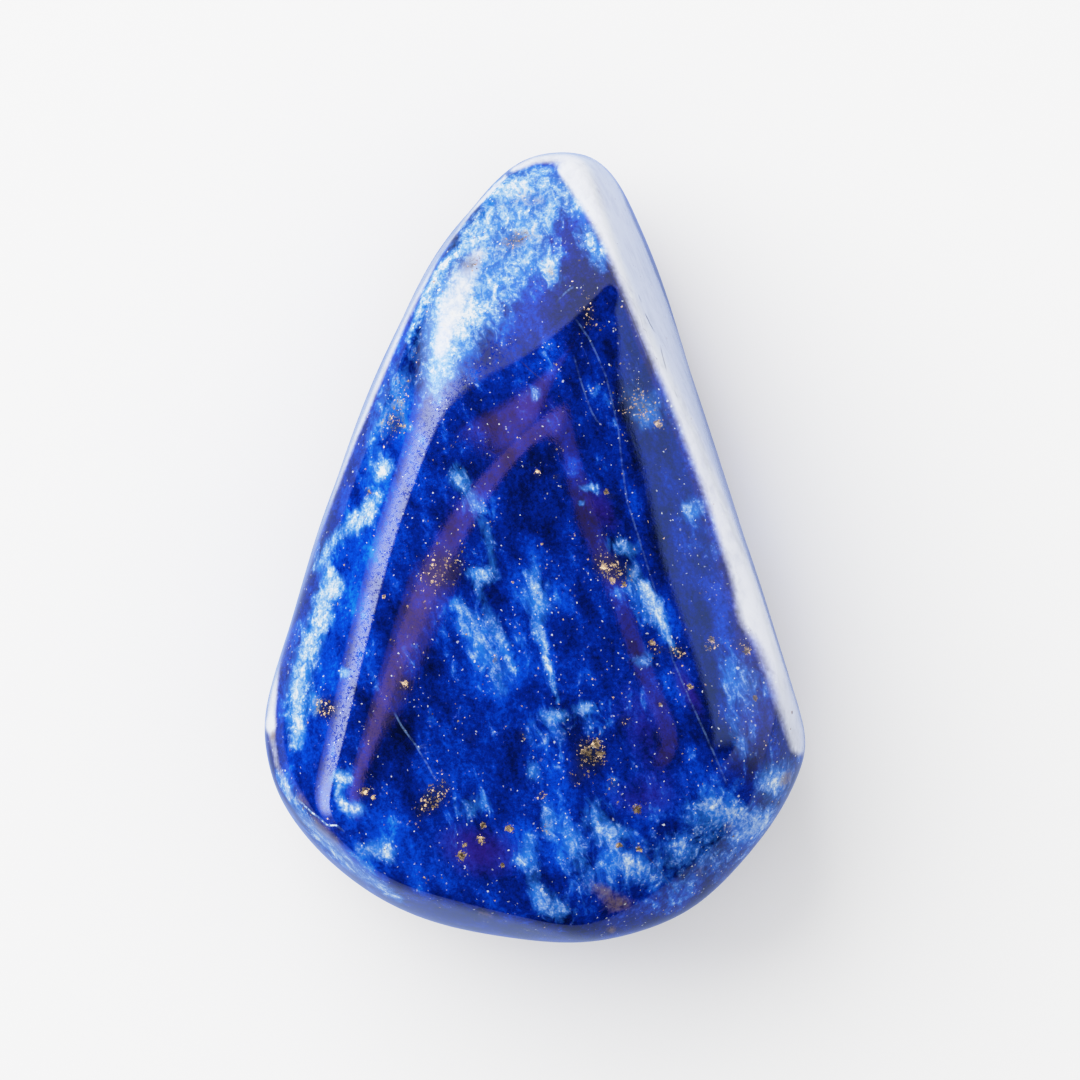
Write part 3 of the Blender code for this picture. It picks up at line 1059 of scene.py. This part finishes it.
class StoneGraph(Graph):
    """The stone's nodes. Its noises, layers and painted markings are known by name."""

    def __init__(self, tree):
        super().__init__(tree)
        place = self.add("ShaderNodeTexCoord").outputs["Object"]
        self.place = self.vector("SCALE", place, scale=1.0 / MM)
        drawn = self.drawn_place()
        self.known = {name: self.noise(drawn, *noise) for name, noise in DRAWN_NOISES.items()}
        for name, noise in EVEN_NOISES.items():
            self.known[name] = self.noise(self.place, *noise)

    def drawn_place(self):
        """The place in the stone, drawn out along the stone's fabric."""
        way = (math.cos(FABRIC), math.sin(FABRIC), 0.0)
        side = (-math.sin(FABRIC), math.cos(FABRIC), 0.0)
        along = self.vector("DOT_PRODUCT", self.place, way)
        across = self.vector("DOT_PRODUCT", self.place, side)
        height = self.add("ShaderNodeSeparateXYZ", Vector=self.place).outputs["Z"]
        drawn = self.times(along, FABRIC_STRETCH)
        return self.add("ShaderNodeCombineXYZ", X=across, Y=drawn, Z=height).outputs[0]

    def value(self, name):
        """What is known by a name, or else the marking painted under it."""
        if name not in self.known:
            self.known[name] = self.painted(name)
        return self.known[name]

    def mixed(self, weights):
        """Sum of known values by their weights."""
        return self.total(*((self.value(name), weight) for name, weight in weights.items()))

    def level(self, name):
        """How far a layer takes effect."""
        weights, *ends = LEVELS[name]
        return self.steps(self.mixed(weights), *ends)


def blue_ramp(graph, depth):
    """The blues, from navy to azure, by a depth from 0 to 1."""
    node = graph.add("ShaderNodeValToRGB", Fac=depth)
    ramp = node.color_ramp
    while len(ramp.elements) < len(BLUES):
        ramp.elements.new(0.5)
    for element, (place, colour) in zip(ramp.elements, BLUES):
        element.position = place
        element.color = (*colour, 1.0)
    return node.outputs["Color"]


def blue_body(graph):
    """The blue itself, with violet in places, some of which is a painted purple reflection of the ring
    light.
    """
    colour = blue_ramp(graph, graph.total(BLUE_DEPTH, graph.mixed(MIXES["blue"])))
    graph.known["hidden_broad"] = graph.times(graph.value("hidden"), graph.value("broad"))
    return graph.coat(colour, VIOLET, graph.level("violet"))


def with_calcite(graph, colour):
    """Clouds and streaks of calcite, with a painted highlight among them: a blue haze, then
    paler, then white, and a smooth film that is partly calcite and partly a painted reflection.
    """
    hidden = graph.value("hidden")
    graph.known["drift"] = graph.times(graph.level("drift"), hidden)
    graph.known["scattered"] = graph.level("scattered")
    graph.known["cloud"] = graph.mixed(MIXES["cloud"])
    for name, layer in (("haze", HAZE), ("pale", PALE), ("white", CALCITE)):
        colour = graph.coat(colour, layer, graph.level(name))
    ragged = graph.times(hidden, graph.mixed(MIXES["ragged"]))
    graph.known["ragged_film"] = graph.times(ragged, graph.value("film_and_reflection"))
    # Lay on the film, which is partly calcite and partly a painted reflection.
    film_and_reflection = graph.times(graph.level("film_edge"), graph.level("film_veil"))
    return graph.coat(colour, FILM_AND_REFLECTION, film_and_reflection)


def thin_line(graph, name, half_width):
    """A thin line where the painted distance to it is near zero."""
    offset = graph.total(graph.value(name), graph.mixed(MIXES["line_wobble"]))
    away = graph.math("ABSOLUTE", offset)
    line = graph.steps(away, half_width * LINE_CORE, half_width, 1.0, 0.0)
    return graph.times(line, graph.value(name + "_strength"))


def with_lines(graph, colour):
    """Pale veins, with a painted highlight drawn as one, dark cracks and brown stains."""
    vein = thin_line(graph, "vein", VEIN_HALF_WIDTH)
    vein = graph.times(vein, graph.level("vein_breaks"))
    colour = graph.coat(colour, VEIN, graph.math("MINIMUM", vein, 1.0))
    colour = graph.coat(colour, CALCITE, graph.steps(vein, *VEIN_WHITE))
    crack = thin_line(graph, "crack", CRACK_HALF_WIDTH)
    colour = graph.coat(colour, CRACK, graph.times(crack, CRACK_COVER))
    return graph.coat(colour, STAIN, graph.level("stained"))


def grain_spots(graph, stone):
    """One inside each single pyrite grain."""
    nearest = FAR
    for x, y, half_width in GRAINS.values():
        spot, _ = seen_spot(stone, x, y)
        away = graph.vector("DISTANCE", graph.place, tuple(spot))
        away = graph.math("DIVIDE", away, half_width * PIXEL * GRAIN_SPAN)
        nearest = graph.math("MINIMUM", nearest, away)
    ragged = graph.total(nearest, graph.mixed(MIXES["grain_wobble"]))
    return graph.steps(ragged, *GRAIN_EDGE, 1.0, 0.0)


def crumbled_place(graph):
    """The place in the stone, moved about a little, so that crystals come out ragged."""
    warp = graph.add("ShaderNodeTexNoise", Vector=graph.place, Scale=CRUMBLE_NOISE, Detail=1.0)
    moved = graph.vector("SCALE", warp.outputs["Color"], scale=CRUMBLE_DEPTH)
    return graph.vector("ADD", graph.place, moved)


def with_crystals(graph, stone, colour):
    """Pyrite in a dark matrix, and fine white specks."""
    drift = graph.times(graph.level("golden_drift"), graph.value("hidden"))
    graph.known["golden_drift"] = drift
    golden = graph.level("golden")
    crowd = graph.level("crowd")
    colour = graph.coat(colour, MATRIX, graph.times(golden, MATRIX_COVER))
    place = crumbled_place(graph)
    pyrite = grain_spots(graph, stone)
    white = 0.0
    gleam = 1.0
    for size in CRYSTALS.values():
        away, chance = graph.cells(place, size["cells"])
        spot = graph.steps(away, size["share"] * CRYSTAL_CORE, size["share"], 1.0, 0.0)
        most = graph.total((crowd, size["plain"]), (golden, size["rich"]))
        held = graph.math("LESS_THAN", chance["Red"], most)
        pyrite = graph.math("MAXIMUM", pyrite, graph.times(spot, held))
        least = graph.total(1.0, (crowd, -size["specks"]), (graph.value("cloud"), -CLOUD_SPECKS))
        pale = graph.math("GREATER_THAN", chance["Red"], least)
        small = graph.times(graph.math("POWER", spot, 2.0), chance["Green"])
        white = graph.math("MAXIMUM", white, graph.times(small, pale))
        gleam = graph.times(gleam, graph.steps(chance["Blue"], 0.0, 1.0, *CRYSTAL_GLEAM))
    graph.known["pyrite"] = pyrite
    colour = graph.coat(colour, CALCITE, graph.times(white, SPECK_COVER))
    shining = graph.vector("SCALE", PYRITE, scale=gleam)
    return graph.coat(colour, shining, pyrite)


def stone_material(stone):
    """Lapis lazuli: colours laid over each other, among them painted reflections and a painted highlight,
    under a clear polish with fine pits.
    """
    material = bpy.data.materials.new("lapis")
    material.use_nodes = True
    graph = StoneGraph(material.node_tree)
    colour = blue_body(graph)
    colour = with_calcite(graph, colour)
    colour = with_lines(graph, colour)
    colour = with_crystals(graph, stone, colour)
    pitted = graph.times(graph.level("pits"), graph.value("frost"))
    relief = graph.mixed(MIXES["relief"])
    bump = graph.add("ShaderNodeBump", Strength=1.0, Distance=BUMP_DEPTH * MM, Height=relief)
    graph.fill(material.node_tree.nodes["Principled BSDF"],
               Base_Color=colour,
               Metallic=graph.times(graph.value("pyrite"), PYRITE_METAL),
               Roughness=graph.level("roughness"),
               Normal=bump.outputs["Normal"],
               Specular_IOR_Level=0.0,
               Coat_Weight=graph.math("SUBTRACT", 1.0, pitted),
               Coat_Normal=bump.outputs["Normal"],
               Coat_Roughness=COAT_ROUGHNESS,
               Coat_IOR=COAT_IOR)
    return material


stone = make_stone()
paint(stone)
stone.data.materials.append(stone_material(stone))
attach(stone, "root")
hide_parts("stone")
make_floor()
make_world()
make_key()
make_camera()
set_tone()
